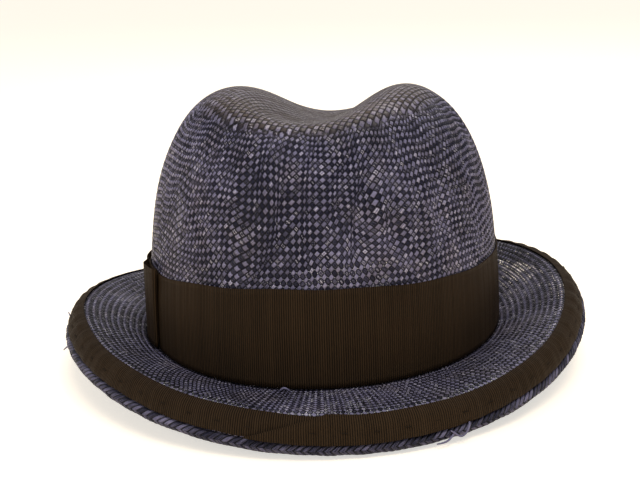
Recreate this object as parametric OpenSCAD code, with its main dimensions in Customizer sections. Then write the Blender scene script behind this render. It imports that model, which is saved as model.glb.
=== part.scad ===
// Woven straw fedora with a grosgrain hatband, a flat side bow and a rolled, ribbon-trimmed brim.
// It stands on a table as it is worn: +X is the wearer's left, -Y is the front, +Z is up.
// The origin is on the table, in the middle of the brim.

/* [Head opening] */
// Width inside the sweatband, ear to ear
head_w = 161.6; // [150:0.2:176]
// Length inside the sweatband, forehead to nape
head_l = 196.6; // [184:0.2:212]

/* [Crown] */
// Height of the crown above the brim, before its crease is pressed in
crown_h = 120; // [95:1:135]
// Share of its width that the crown loses on its way up
crown_taper = 0.03; // [0:0.005:0.08]
// Fullness of the crown's top, 2 is pointed and 4 is broad
crown_fullness = 3.4; // [2.4:0.1:4]
// Straightness of the crown's wall, 2 is a dome and 4 is a cylinder with a round shoulder
wall_fullness = 3; // [2.4:0.1:4]
// Fall of the crown's top towards the back, per millimetre of length
crown_fall = 0.09; // [0:0.01:0.12]
// Depth of the lengthwise crease in the crown's top
crease_depth = 24; // [12:1:28]
// Half width of the crease, where it has risen to two thirds of its depth
crease_w = 29; // [20:1:36]
// Half length of the crease
crease_l = 76; // [60:1:84]
// Distance of the crease's middle behind the crown's middle
crease_back = 9; // [-10:1:16]

/* [Brim] */
// Width of the flat straw at the front, from the crown to the turned-down edge
brim_front_w = 26; // [18:1:40]
// Width of the flat straw at each side
brim_side_w = 31.5; // [20:0.5:42]
// Width of the flat straw at the back
brim_back_w = 25; // [18:1:40]
// Rise of the flat straw at the front, in degrees
brim_front_rise = 4; // [0:1:12]
// Rise of the flat straw at each side, in degrees
brim_side_rise = 27; // [14:1:34]
// Rise of the flat straw at the back, in degrees
brim_back_rise = 4; // [0:1:12]
// How much more the brim rises on the wearer's left than on the right, in degrees
brim_lean = 4.4; // [0:0.2:8]
// Twist of the shaped brim, raised at the left back and right front, in degrees
brim_twist = 9; // [0:0.5:12]
// Turn-down of the brim's edge at the front and the back, in degrees
edge_turn_ends = 108; // [70:1:120]
// Turn-down of the brim's edge at each side, in degrees
edge_turn_side = 116; // [70:1:120]
// Height of the brim's upright collar, which is sewn inside the crown
collar_h = 9; // [6:1:14]
// Inside radius of the fold between the collar and the brim
break_r = 0.3; // [0.2:0.05:0.8]

/* [Rolled edge] */
// Thickness of the plaited straw roll round the brim's edge
roll_d = 4.8; // [4:0.2:7]
// Channel through the roll, which holds the wire and its joiner
roll_bore = 2.4; // [2.2:0.1:2.8]
// Thickness of the thread-wrapped brim wire
wire_d = 1.2; // [0.8:0.1:1.4]
// Outside diameter of the sleeve that joins the wire's ends
joiner_d = 2; // [1.8:0.1:2.2]
// Length of the sleeve
joiner_l = 24; // [15:1:35]

/* [Edge ribbon] */
// Width of the grosgrain ribbon on top of the brim's edge
ribbon_w = 10.4; // [8:0.1:14]
// Bare straw of the turned-down edge above the ribbon
ribbon_inset = 4.6; // [1:0.1:7]
// Straw left free between the ribbon and the roll
ribbon_clear = 0.9; // [0.5:0.1:2]
// Thickness of the ribbons
ribbon_t = 0.5; // [0.4:0.05:0.8]
// Angle at which the ribbon starts, measured from the wearer's left towards the back
ribbon_start = 280; // [200:5:320]
// Length of the overlap where the ribbon's end is folded under, in degrees of the brim
ribbon_lap = 15; // [5:5:25]
// Distance between the edge ribbon's stitches
stitch_pitch = 13; // [8:1:20]
// Place of the stitch line across the ribbon, as a share of its width
stitch_line = 0.62; // [0.3:0.01:0.8]

/* [Hatband] */
// Height of the hatband
band_h = 42; // [30:1:52]
// Thickness of the hatband
band_t = 0.8; // [0.5:0.1:1.2]

/* [Bow] */
// Length of the bow, round the crown
bow_l = 66; // [40:1:84]
// Height that the bow adds above the hatband's top
bow_rise = 1.6; // [0:0.1:4]
// Thickness of the bow's folded loops
bow_t = 3; // [2.4:0.1:5]
// Width of the knot wrapped round the bow's middle
knot_w = 15; // [10:1:22]

/* [Sweatband] */
// Height of the sweatband, as a share of the crown's height
sweat_share = 0.25; // [0.18:0.01:0.3]
// Thickness of the sweatband
sweat_t = 0.8; // [0.5:0.1:1.2]
// Span of the little bow on the sweatband's back join
sweat_bow_w = 18; // [12:1:24]

/* [Straw and thread] */
// Thickness of the woven straw
straw_t = 1; // [0.8:0.1:1.4]
// Thickness of the sewing thread
thread_d = 0.3; // [0.2:0.05:0.4]
// Clearance between layers that lie on each other
fit_gap = 0.1; // [0.08:0.01:0.2]

/* [Hidden] */

around = 72;                        // sections round the head
step = 360 / around;
band_rows = 4;                      // rows of the crown's mesh up to the hatband's top
dome_rows = 19;                     // rows from there to the middle of the crown
edge_steps = 7;                     // facets across the turned-down edge
edge_w = ribbon_inset + ribbon_w + ribbon_clear;
facet_w = edge_w / edge_steps;
stitch_gap = thread_d + 3 * fit_gap;
sweat_h = crown_h * sweat_share;

// The layers at the headline, from the head outwards, as added to the head's half sizes
collar_in = sweat_t + stitch_gap;
collar_out = collar_in + straw_t;
crown_in = collar_out + fit_gap;
crown_out = crown_in + straw_t;
band_in = crown_out + fit_gap;
band_out = band_in + band_t;
crown_a = head_w / 2 + crown_out;
crown_b = head_l / 2 + crown_out;
crown_foot = fit_gap;               // lower edge of the crown above the headline

straw_navy = "#34385c";
ribbon_brown = "#2e261d";
thread_brown = "#1e1812";
lining_tan = "#8a7458";
steel = "#9a9a98";

// ---- the crown's surface ----------------------------------------------------------------------

function outward(t) =
    let (x = crown_b * cos(t), y = crown_a * sin(t), n = norm([x, y])) [x / n, y / n];

// The crown's wall angle, 0 at the headline and 90 at the top, where the wall is z high
function wall_angle(z) = asin(pow(z / crown_h, wall_fullness / 2));

function crease(x, y, level) =
    crease_depth * exp(-pow(x / crease_w, 2))
    / (1 + pow(abs(y - crease_back) / crease_l, 6)) * pow(level, 4);

// A point on the crown at angle t round the head and angle wall up the wall, grow outside its face
function crown_point(t, wall, grow = 0) =
    let (level = pow(sin(wall), 2 / wall_fullness),
         reach = pow(max(cos(wall), 0), 2 / crown_fullness) * (1 - crown_taper * level),
         x = (crown_a + grow) * reach * cos(t),
         y = (crown_b + grow) * reach * sin(t))
    [x, y, (crown_h + grow) * level - crown_fall * y * pow(level, 3) - crease(x, y, level)];

foot_angle = wall_angle(crown_foot);
band_angle = wall_angle(crown_foot + band_h);
crown_walls = concat(
    [for (i = [0 : band_rows]) wall_angle(crown_foot + band_h * i / band_rows)],
    [for (i = [1 : dome_rows - 1]) band_angle + (90 - band_angle) * i / dome_rows]
);

// ---- the brim's section -----------------------------------------------------------------------

// A value that is one thing at the front, another at the sides and a third at the back
function round_head(t, front, side, back) =
    side + ((sin(t) < 0 ? front : back) - side) * pow(sin(t), 2);

function brim_w(t) = round_head(t, brim_front_w, brim_side_w, brim_back_w);
function brim_rise(t) =
    round_head(t, brim_front_rise, brim_side_rise, brim_back_rise)
    + brim_lean * cos(t) + brim_twist * sin(2 * t);
function edge_turn(t) = round_head(t, edge_turn_ends, edge_turn_side, edge_turn_ends);

fold_r = break_r + straw_t / 2;     // radius of the fold along the middle of the straw
lay_out = fit_gap * 2 + straw_t + band_t;

// Height of the fold's centre, so that the crown and the hatband just clear the brim
function fold_z(t) =
    let (rise = brim_rise(t))
    break_r * cos(rise) - (lay_out - break_r * (1 + sin(rise))) * tan(rise) - fit_gap;

// The middle of the straw as [out, up, heading], out being from the collar's outer face
function fold_point(t, heading) =
    [break_r + fold_r * sin(heading), fold_z(t) - fold_r * cos(heading), heading];

// How far the crown's wall has drawn in at height z, measured square to the wall
function draft(t, z) =
    let (n = outward(t), p = crown_point(t, wall_angle(z)))
    (crown_a * cos(t) - p[0]) * n[0] + (crown_b * sin(t) - p[1]) * n[1];

// The flat straw, s from the fold
function straw_point(t, s) =
    let (rise = brim_rise(t), start = fold_point(t, rise))
    [start[0] + s * cos(rise), start[1] + s * sin(rise), rise];

// The turned-down edge, s from the flat straw's end
function edge_point(t, s) =
    let (start = straw_point(t, brim_w(t)),
         rise = start[2],
         turned = edge_turn(t) * s / edge_w,
         bend_r = edge_w / edge_turn(t) * 180 / PI)
    [start[0] + bend_r * (sin(rise) - sin(rise - turned)),
     start[1] + bend_r * (cos(rise - turned) - cos(rise)),
     rise - turned];

// Stand a section point up at angle t round the head, off above the middle of the straw
function place(t, p, off = 0) =
    let (n = outward(t),
         out = p[0] - off * sin(p[2]),
         a = head_w / 2 + collar_out,
         b = head_l / 2 + collar_out)
    [a * cos(t) + n[0] * out, b * sin(t) + n[1] * out, p[1] + off * cos(p[2])];

// ---- the rolled edge --------------------------------------------------------------------------

seam_at = 225;                      // place of the seam round the section, below and inside
seam_open = 6;                      // half the angle that the seam leaves open

function roll_centre(t) =
    let (tip = edge_point(t, edge_w), reach = roll_d / 2 + fit_gap)
    [tip[0] + reach * cos(tip[2]), tip[1] + reach * sin(tip[2]), 0];

// A point on a tube of radius r round the roll's centre, at angle u of its section
function roll_point(t, r, u) =
    let (c = roll_centre(t)) place(t, [c[0] + r * cos(u), c[1] + r * sin(u), 0]);

// The section of a tube that is wrapped round the wire, from its outside to its bore
function wrapped(t, outside, bore, outer_sides, bore_sides) =
    let (from = seam_at + seam_open, turn = 360 - 2 * seam_open)
    concat(
        [for (i = [outer_sides : -1 : 0]) roll_point(t, outside / 2, from + turn * i / outer_sides)],
        [for (i = [0 : bore_sides]) roll_point(t, bore / 2, from + turn * i / bore_sides)]
    );

rim = [for (i = [0 : around - 1]) roll_point(i * step, 0, 0)];
headline_z = roll_d / 2 - min([for (p = rim) p[2]]);
middle_x = (max([for (p = rim) p[0]]) + min([for (p = rim) p[0]])) / 2;
middle_y = (max([for (p = rim) p[1]]) + min([for (p = rim) p[1]])) / 2;

// ---- meshes and small shapes ------------------------------------------------------------------

// Moves a piece drawn from the headline's middle to its place on the table
module on_table() {
    translate([-middle_x, -middle_y, headline_z]) children();
}

// A closed band through sections that all have the same number of points
module loft(sections, closed) {
    n = len(sections[0]);
    m = len(sections);
    points = [for (s = sections) each s];
    sides = [for (i = [0 : m - (closed ? 1 : 2)], j = [0 : n - 1])
        let (k = (i + 1) % m, l = (j + 1) % n)
        each [[i * n + j, k * n + l, i * n + l], [i * n + j, k * n + j, k * n + l]]];
    ends = closed ? [] : [
        [for (j = [0 : n - 1]) j],
        [for (j = [n - 1 : -1 : 0]) (m - 1) * n + j]
    ];
    polyhedron(points, concat(sides, ends));
}

// A strip between two rows of section points, lower row back to front
function strip(upper, lower) = concat(upper, [for (i = [len(lower) - 1 : -1 : 0]) lower[i]]);

// A section at angle t on the flat facet between two of the meshes' own sections
function on_facet(section, t) =
    let (low = floor(t / step),
         part = t / step - low,
         a = section(low * step),
         b = section((low + 1) * step))
    [for (i = [0 : len(a) - 1]) a[i] + (b[i] - a[i]) * part];

// A stitch between two points
module stitch(p, q) {
    v = q - p;
    translate(p)
        rotate([0, acos(v[2] / norm(v)), atan2(v[1], v[0])])
            cylinder(h = norm(v), d = thread_d, $fn = 16);
}

// An oval ring standing upright, between two sizes added to the head's half sizes
module oval_wall(inner, outer, h) {
    linear_extrude(height = h) difference() {
        polygon(oval(outer));
        polygon(oval(inner));
    }
}

function oval(grow) =
    [for (i = [0 : around - 1]) oval_point(i * step, grow)];
function oval_point(t, grow) =
    [(head_w / 2 + grow) * cos(t), (head_l / 2 + grow) * sin(t)];

// ---- straw ------------------------------------------------------------------------------------

module crown() {
    rows = len(crown_walls);
    skin = function (grow) [for (w = crown_walls, i = [0 : around - 1])
        crown_point(i * step, w, grow)];
    outer = concat(skin(0), [crown_point(0, 90)]);
    inner = concat(skin(-straw_t), [crown_point(0, 90, -straw_t)]);
    base = len(outer);
    walls = [for (r = [0 : rows - 2], i = [0 : around - 1])
        let (a = r * around + i, b = r * around + (i + 1) % around)
        each [[a, a + around, b], [b, a + around, b + around],
              [base + a, base + b, base + a + around],
              [base + b, base + b + around, base + a + around]]];
    top = [for (i = [0 : around - 1])
        let (a = (rows - 1) * around + i, b = (rows - 1) * around + (i + 1) % around)
        each [[a, base - 1, b], [base + a, base + b, 2 * base - 1]]];
    foot = [for (i = [0 : around - 1])
        let (b = (i + 1) % around) each [[i, b, base + i], [b, base + b, base + i]]];
    color(straw_navy) on_table() polyhedron(concat(outer, inner), concat(walls, top, foot));
}

module brim() {
    fold_steps = 3;
    middle = function (t) concat(
        [[-straw_t / 2 - draft(t, collar_h), collar_h, -90]],
        [for (i = [0 : fold_steps]) fold_point(t, -90 + (90 + brim_rise(t)) * i / fold_steps)],
        [straw_point(t, brim_w(t) / 2)],
        [for (i = [0 : edge_steps]) edge_point(t, facet_w * i)]
    );
    section = function (t) strip(
        [for (p = middle(t)) place(t, p, straw_t / 2)],
        [for (p = middle(t)) place(t, p, -straw_t / 2)]
    );
    color(straw_navy) on_table() loft([for (i = [0 : around - 1]) section(i * step)], true);
}

// The plait is wrapped round the wire, and its seam stays open as a slit inside the brim
module edge_braid() {
    color(straw_navy) on_table()
        loft([for (i = [0 : around - 1]) wrapped(i * step, roll_d, roll_bore, 16, 8)], true);
}

// ---- wire in the edge -------------------------------------------------------------------------

module brim_wire() {
    section = function (t) [for (i = [5 : -1 : 0]) roll_point(t, wire_d / 2, 60 * i)];
    color(steel) on_table() loft([for (i = [0 : around - 1]) section(i * step)], true);
}

// A crimped sleeve at the back of the hat, over the place where the wire's ends meet
module wire_joiner() {
    half = joiner_l / 2 / roll_point(0, 0, 0)[0] * 180 / PI;
    inside = floor(half / step);
    sections = [90 - half, for (i = [-inside : inside]) 90 + i * step, 90 + half];
    tube = function (t) wrapped(t, joiner_d, wire_d + 2 * fit_gap, 12, 8);
    color(steel) on_table() loft([for (t = sections) on_facet(tube, t)], false);
}

// ---- ribbon and stitches on the edge ----------------------------------------------------------

// A point on the turned-down edge's own facets, off above the middle of the straw
function edge_facet(t, s, off) =
    let (low = floor(s / facet_w),
         a = place(t, edge_point(t, low * facet_w), off),
         b = place(t, edge_point(t, (low + 1) * facet_w), off))
    a + (b - a) * (s / facet_w - low);

// The ribbon runs once round the brim by the wearer's right, and its end climbs onto its own start
module edge_ribbon() {
    on_straw = straw_t / 2 + fit_gap;
    climb = step * 2;
    lift = function (turned)
        (ribbon_t + fit_gap) * min(max((turned - 360 + climb) / climb, 0), 1);
    last = ribbon_inset + ribbon_w;
    bends = [for (i = [1 : edge_steps])
        if (facet_w * i > ribbon_inset + fit_gap && facet_w * i < last - fit_gap) facet_w * i];
    places = concat([ribbon_inset], bends, [last]);
    row = function (turned, off)
        [for (s = places) edge_facet(ribbon_start - turned, s, on_straw + lift(turned) + off)];
    laps = [for (turned = [360 + ribbon_lap : -step : 360 + step]) turned];
    round = [for (turned = [360 - step : -step : 0]) turned];
    color(ribbon_brown) on_table()
        loft([for (turned = concat(laps, [360 - fit_gap], round))
            strip(row(turned, ribbon_t), row(turned, 0))], false);
}

module edge_ribbon_stitches() {
    off = straw_t / 2 + 2 * (ribbon_t + fit_gap) + fit_gap + thread_d / 2;
    low = off - ribbon_t - fit_gap;
    edge = (roll_point(0, 0, 0)[0] + roll_point(90, 0, 0)[1]) / 2;
    count = floor(2 * PI * edge / stitch_pitch);
    half = 1.2 / edge * 180 / PI;
    on_lap = function (t)
        let (d = (ribbon_start - t + 720) % 360) d < ribbon_lap + step || d > 360 - step * 3;
    spot = function (t, lift)
        place(t, edge_point(t, ribbon_inset + ribbon_w * stitch_line), lift);
    color(thread_brown) on_table() for (i = [0 : count - 1]) {
        t = 360 * i / count;
        lift = on_lap(t) ? off : low;
        stitch(spot(t - half, lift), spot(t + half, lift));
    }
}

// ---- hatband and bow --------------------------------------------------------------------------

// A point on the hatband's level z, off outside the crown's face
function band_point(t, z, off) = crown_point(t, wall_angle(z), off);

band_foot = crown_foot + fit_gap;
band_top = crown_foot + band_h;
band_levels = [for (i = [0 : band_rows]) band_foot + (band_top - band_foot) * i / band_rows];

module hatband() {
    section = function (t) strip(
        [for (z = band_levels) band_point(t, z, fit_gap)],
        [for (z = band_levels) band_point(t, z, fit_gap + band_t)]
    );
    color(ribbon_brown) on_table() loft([for (i = [0 : around - 1]) section(i * step)], true);
}

bow_side = 195;                     // the bow sits on the wearer's right, a little forward
bow_half = bow_l / 2 / crown_b * 180 / PI;
knot_half = knot_w / 2 / crown_b * 180 / PI;
over_band = band_t + 2 * fit_gap;

// The foot of a piece that stands this far out from the hatband, just clear of the rising brim
function foot_over_brim(t, out) = band_foot + (out + fit_gap) * tan(max(brim_rise(t), 0));

// A column of points from the foot to the top, at angle t, off outside the crown's face
function column(t, top, out, off) =
    let (foot = foot_over_brim(t, out))
    [for (i = [0 : band_rows]) band_point(t, foot + (top - foot) * i / band_rows, off)];

// A flat piece on the hatband, between two angles, whose faces are inner and outer off the crown
module patch(from, to, top, inner, outer) {
    pieces = 4;
    section = function (t)
        strip(column(t, top, outer - band_t, inner), column(t, top, outer - band_t, outer));
    loft([for (i = [0 : pieces]) section(from + (to - from) * i / pieces)], false);
}

// The hatband's own end, which laps over its start under the bow
module hatband_lap() {
    color(ribbon_brown) on_table()
        patch(bow_side - knot_half, bow_side + knot_half, band_top, over_band, over_band + ribbon_t);
}

// A loop of folded ribbon: out from the knot, round a soft fold and back, with a slit inside
module bow_loop(from, to) {
    pieces = 6;
    top = band_top + bow_rise;
    flat_end = to - (to - from) * 0.06;
    fold = to - (to - from) * 0.03;
    along = function (i) from + (flat_end - from) * i / pieces;
    back = function (i) over_band + bow_t * (0.62 + 0.38 * i / pieces);
    outline = [
        for (i = [0 : pieces]) [along(i), over_band],
        [fold, over_band + bow_t * 0.12], [to, over_band + bow_t * 0.5], [fold, over_band + bow_t * 0.88],
        for (i = [pieces : -1 : 0]) [along(i), back(i)],
        for (i = [0 : pieces]) [along(i), back(i) - ribbon_t],
        for (i = [pieces : -1 : 0]) [along(i), over_band + ribbon_t]
    ];
    columns = [for (p = outline) column(p[0], top, bow_t, p[1])];
    wound = to < from ? columns : [for (i = [len(columns) - 1 : -1 : 0]) columns[i]];
    on_table() loft([for (i = [0 : band_rows]) [for (c = wound) c[i]]], false);
}

module bow_front_loop() {
    color(ribbon_brown) bow_loop(bow_side + knot_half + 0.4, bow_side + bow_half);
}

module bow_back_loop() {
    color(ribbon_brown) bow_loop(bow_side - knot_half - 0.4, bow_side - bow_half);
}

module bow_knot() {
    color(ribbon_brown) on_table()
        patch(bow_side - knot_half, bow_side + knot_half, band_top + bow_rise,
              over_band + ribbon_t + fit_gap, over_band + bow_t * 0.8);
}

// Two tack stitches at each end of the knot, which hold the bow to the hatband
module bow_tacks() {
    off = over_band + bow_t * 0.8 + thread_d / 2 + fit_gap;
    half = 1.5 / crown_b * 180 / PI;
    color(thread_brown) on_table() for (z = [band_foot + 3, band_top - 3], side = [-1, 1]) {
        t = bow_side + side * knot_half * 0.6;
        stitch(band_point(t - half, z, off), band_point(t + half, z, off));
    }
}

// ---- inside the hat ---------------------------------------------------------------------------

// Stitches behind the sweatband that join the brim's collar to the crown
module headline_stitches() {
    count = 48;
    half = 0.9;
    grow = sweat_t + fit_gap + thread_d / 2;
    at = function (t) let (p = oval_point(t, grow)) [p[0], p[1], collar_h / 2];
    color(thread_brown) on_table() for (i = [0 : count - 1]) {
        t = (i + 0.5) * 360 / count;
        stitch(at(t - half), at(t + half));
    }
}

module sweatband() {
    color(lining_tan) on_table() oval_wall(0, sweat_t, sweat_h);
}

module sweatband_stitches() {
    count = 72;
    half = 0.7;
    up = 2.5;
    at = function (t) let (p = oval_point(t, -fit_gap - thread_d / 2)) [p[0], p[1], up];
    color(thread_brown) on_table() for (i = [0 : count - 1]) {
        t = (i + 0.5) * 360 / count;
        stitch(at(t - half), at(t + half));
    }
}

bow_z = sweat_h * 0.4;
sweat_bow_y = head_l / 2 * sqrt(1 - pow(sweat_bow_w / head_w, 2)) - fit_gap;
sweat_knot_w = sweat_bow_w * 0.2;

// Two flat loops with open eyes, at the sweatband's join at the back
module sweatband_bow() {
    loop_w = (sweat_bow_w - sweat_knot_w) / 2 - fit_gap;
    bar = 1.2;
    color(ribbon_brown) on_table() for (side = [0, 1])
        mirror([side, 0, 0])
            translate([sweat_knot_w / 2 + fit_gap, sweat_bow_y, bow_z])
                rotate([90, 0, 0]) linear_extrude(height = ribbon_t) difference() {
                    polygon([[0, -1.6], [loop_w * 0.8, -3.4], [loop_w, -2.2],
                             [loop_w, 2.2], [loop_w * 0.8, 3.4], [0, 1.6]]);
                    polygon([[bar, -0.6], [loop_w - bar, -1.6], [loop_w - bar, 1.6], [bar, 0.6]]);
                }
}

module sweatband_bow_knot() {
    color(ribbon_brown) on_table()
        translate([-sweat_knot_w / 2, sweat_bow_y - ribbon_t * 1.5, bow_z - 2.2])
            cube([sweat_knot_w, ribbon_t * 1.5, 4.4]);
}

crown();
brim();
edge_braid();
brim_wire();
wire_joiner();
edge_ribbon();
edge_ribbon_stitches();
hatband();
hatband_lap();
bow_front_loop();
bow_back_loop();
bow_knot();
bow_tacks();
headline_stitches();
sweatband();
sweatband_stitches();
sweatband_bow();
sweatband_bow_knot();
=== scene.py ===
"""Finished model of a woven straw fedora: straw, plaited edge, grosgrain ribbon, bow and thread."""

import math

import bpy
import numpy as np
from mathutils import Matrix, Vector


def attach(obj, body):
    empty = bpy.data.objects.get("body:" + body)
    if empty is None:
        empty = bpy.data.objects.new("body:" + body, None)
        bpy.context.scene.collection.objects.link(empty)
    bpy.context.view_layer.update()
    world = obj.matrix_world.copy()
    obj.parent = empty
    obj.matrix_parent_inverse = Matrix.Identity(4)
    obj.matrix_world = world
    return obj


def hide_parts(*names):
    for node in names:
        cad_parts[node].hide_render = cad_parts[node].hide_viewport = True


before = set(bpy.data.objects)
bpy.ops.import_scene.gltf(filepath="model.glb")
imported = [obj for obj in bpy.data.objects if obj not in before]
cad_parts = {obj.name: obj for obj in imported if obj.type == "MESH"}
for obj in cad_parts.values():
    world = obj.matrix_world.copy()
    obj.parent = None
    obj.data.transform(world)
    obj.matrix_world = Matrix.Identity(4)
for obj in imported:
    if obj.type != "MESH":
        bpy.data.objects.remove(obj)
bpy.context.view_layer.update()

bl_info = {
    "name": "Straw fedora",
    "version": (1, 0, 0),
    "blender": (4, 5, 0),
    "location": "View3D > Sidebar > Fedora",
    "description": "Weaves and trims a straw fedora round its CAD model",
    "category": "Object",
}


MM = 0.001

# ---- sizes that the CAD part is built on, in millimetres and degrees ----

# The opening for the head
HEAD_W, HEAD_L = 161.6, 196.6
# The crown's height, inward lean and fall towards the back, and how square it is in plan and up the wall
CROWN_H, CROWN_TAPER, CROWN_FALL = 120, 0.03, 0.09
CROWN_FULLNESS, WALL_FULLNESS = 3.4, 3
# The crease's depth, half width and half length, and how far behind the middle it lies
CREASE_DEPTH, CREASE_W, CREASE_L, CREASE_BACK = 24, 29, 76, 9
# The brim at its front, sides and back: width, rise, and turn of its edge
BRIM_WIDTHS, BRIM_RISES, EDGE_TURNS = (26, 31.5, 25), (4, 27, 4), (108, 116, 108)
# What the brim's slope gains on the wearer's left and loses on the right, and its twist round the head
BRIM_LEAN, BRIM_TWIST = 4.4, 9
COLLAR_H, BREAK_R = 9, 0.3
ROLL_D = 4.8
# The edge ribbon, how far down the turned edge it starts, and the room below it
RIBBON_W, RIBBON_T, RIBBON_INSET, RIBBON_CLEAR = 10.4, 0.5, 4.6, 0.9
EDGE_W = RIBBON_INSET + RIBBON_W + RIBBON_CLEAR
# Stitches of the edge ribbon: their distance, and their place across it
STITCH_PITCH, STITCH_LINE = 13, 0.62
BAND_H, BAND_T = 42, 0.8
BOW_L, BOW_RISE, BOW_T, KNOT_W = 66, 1.6, 3, 15
SWEAT_T, STRAW_T, THREAD_D, FIT_GAP = 0.8, 1, 0.3, 0.1

STITCH_GAP = THREAD_D + 3 * FIT_GAP
COLLAR_OUT = SWEAT_T + STITCH_GAP + STRAW_T
CROWN_OUT = COLLAR_OUT + FIT_GAP + STRAW_T
CROWN_A, CROWN_B = HEAD_W / 2 + CROWN_OUT, HEAD_L / 2 + CROWN_OUT
CROWN_FOOT = FIT_GAP
BAND_FOOT, BAND_TOP = CROWN_FOOT + FIT_GAP, CROWN_FOOT + BAND_H
OVER_BAND = BAND_T + 2 * FIT_GAP
FOLD_R = BREAK_R + STRAW_T / 2
LAY_OUT = FIT_GAP * 2 + STRAW_T + BAND_T

# ---- sizes that only the finished model has, in millimetres and degrees ----

# The drop of the hatband's upper edge at the sides of the head, and half its difference between them
BAND_DIP, BAND_DIP_LEAN = 7.2, 2.0
# The bow's place round the head, and how far its back loop and its knot stay below its top
BOW_SIDE, LOOP_DROP, KNOT_DROP = 194.0, 3.0, 2.0
# The edge ribbon's start, its end, and the slant of the end's fold
RIBBON_FROM, RIBBON_TO, RIBBON_SLANT = 288.0, 275.5 - 360, 15.0
# Half the distance between two crossings of the brim's weave
BRIM_HALF_PITCH = 1.35
# How far the plait's strands run back from the point they meet in, in steps of the plait
PLAIT_LEAN = 1.35
# Distance between the fine threads that cross the ribs, and the lining's mean distance from the middle
THREAD_PITCH, LINING_R = 0.34, 89.5
# Thickness of the finished pieces' walls
CROWN_WALL, BRIM_WALL, LOOP_WALL, KNOT_WALL = 0.3, 0.22, 0.42, 0.6
# Radius of the loose straw ends, and of the nub on the brim
STRAW_END_R, NUB_R = 0.42, 0.45
# The angles up the wall between which the side's coarse weave gives way to the top's fine one
TOP_FROM, TOP_TO = 46, 70
# How far the crown's strands stray from a straight grid, and how high the crown's soft dents are
STRAY, DENTS = 1.5, 0.5
# Heights of the edge ribbon's puckers inside and outside its stitches, and depth of the stitches' dips
PUCKER, HEM_PUCKER, STITCH_DIP = 0.5, 0.42, 0.3
# How far the hatband's upper lip stands off, and how far its middle waves
BAND_LIP, BAND_WAVE = 0.45, 0.3
# How far the bow's loops bulge and its knot swells, and how far a loop's inner strip stands off the band
LOOP_BULGE, KNOT_SWELL, LOOP_STAND = 0.55, 0.8, 0.3

# ---- names and colours, as screen values from 0 to 255 ----

RIBBON_CLOTH, LOOSE_STRAW, BROWN_THREAD = "brown grosgrain", "loose straw", "brown thread"
# Near-black painted shade in the gaps of the woven straw and of the plait
WEAVE_GAP_SHADE, PLAIT_GAP_SHADE = (7, 7, 11), (8, 8, 12)
THREAD_BROWN, THREAD_NAVY = (34, 26, 18), (44, 46, 78)
STEEL_DARK, STEEL_LIGHT = (120, 120, 118), (175, 174, 170)
# The lining's rib tops and grooves, painted lighter and darker as painted light and shade, and the tint of
# its sheen
LINING_COLOURS = {"light": (104, 86, 64), "dark": (60, 48, 34), "sheen": (150, 130, 100)}
FLOOR_SHADE = (240, 222, 198)
# What the straw's colour is multiplied by in its warm patches
WARM_CAST = (1.12, 0.98, 0.72, 1)

# ---- stage, in metres and degrees ----

CAMERA_YAW, CAMERA_ROLL, LOOK_AT = -5.88, 1.74, (-0.0017, 0, 0.05422)
LAMP_AIM, FILL_SHARE, BACK_SHARE = (0, 0, 0.06), 0.28, 0.55
SKY_LIGHT, FLOOR_GLOW, FLOOR_SIZE = 0.45, 0.6, 14

# ---- shape functions, on arrays of angles in degrees ----


def sin(d):
    """Sine of an angle in degrees."""
    return np.sin(np.radians(d))


def cos(d):
    """Cosine of an angle in degrees."""
    return np.cos(np.radians(d))


def smooth(low, high, x):
    """0 below low, 1 above high and a soft step between."""
    s = np.clip((x - low) / (high - low), 0, 1)
    return s * s * (3 - 2 * s)


def outward(t):
    """The direction out of the crown's foot at angle t, as x and y."""
    x, y = CROWN_B * cos(t), CROWN_A * sin(t)
    n = np.hypot(x, y)
    return x / n, y / n


def wall_angle(z):
    """The angle up the wall at which the crown reaches height z."""
    return np.degrees(np.arcsin((np.maximum(z, 0) / CROWN_H) ** (WALL_FULLNESS / 2)))


def crown_point(t, wall, grow=0.0):
    """A point of the crown at angle t round the head and angle wall up the wall."""
    level = sin(wall) ** (2 / WALL_FULLNESS)
    reach = np.maximum(cos(wall), 0) ** (2 / CROWN_FULLNESS) * (1 - CROWN_TAPER * level)
    x = (CROWN_A + grow) * reach * cos(t)
    y = (CROWN_B + grow) * reach * sin(t)
    dent = CREASE_DEPTH * np.exp(-((x / CREASE_W) ** 2)) * level**4
    dent = dent / (1 + (np.abs(y - CREASE_BACK) / CREASE_L) ** 6)
    z = (CROWN_H + grow) * level - CROWN_FALL * y * level**3 - dent
    return np.stack(np.broadcast_arrays(x, y, z), -1)


def round_head(t, front, side, back):
    """A size that changes from front to side to back."""
    return side + (np.where(sin(t) < 0, front, back) - side) * sin(t) ** 2


def brim_w(t):
    """The brim's width at angle t."""
    return round_head(t, *BRIM_WIDTHS)


def brim_rise(t):
    """The brim's slope at angle t."""
    return round_head(t, *BRIM_RISES) + BRIM_LEAN * cos(t) + BRIM_TWIST * sin(2 * t)


def fold_z(t):
    """Height of the middle of the fold between collar and brim."""
    rise = brim_rise(t)
    return BREAK_R * cos(rise) - (LAY_OUT - BREAK_R * (1 + sin(rise))) * sin(rise) / cos(rise) - FIT_GAP


def fold_point(t, heading):
    """A point of that fold as out, up and heading, out being from the collar."""
    return BREAK_R + FOLD_R * sin(heading), fold_z(t) - FOLD_R * cos(heading), heading


def straw_point(t, s):
    """A point of the flat brim, s out from the fold."""
    rise = brim_rise(t)
    out, up, _ = fold_point(t, rise)
    return out + s * cos(rise), up + s * sin(rise), rise


def edge_point(t, s):
    """A point of the turned-down edge, s on from the flat brim's end."""
    turn = round_head(t, *EDGE_TURNS)
    out, up, rise = straw_point(t, brim_w(t))
    turned = turn * s / EDGE_W
    bend_r = EDGE_W / np.radians(turn)
    return (
        out + bend_r * (sin(rise) - sin(rise - turned)),
        up + bend_r * (cos(rise - turned) - cos(rise)),
        rise - turned,
    )


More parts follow.
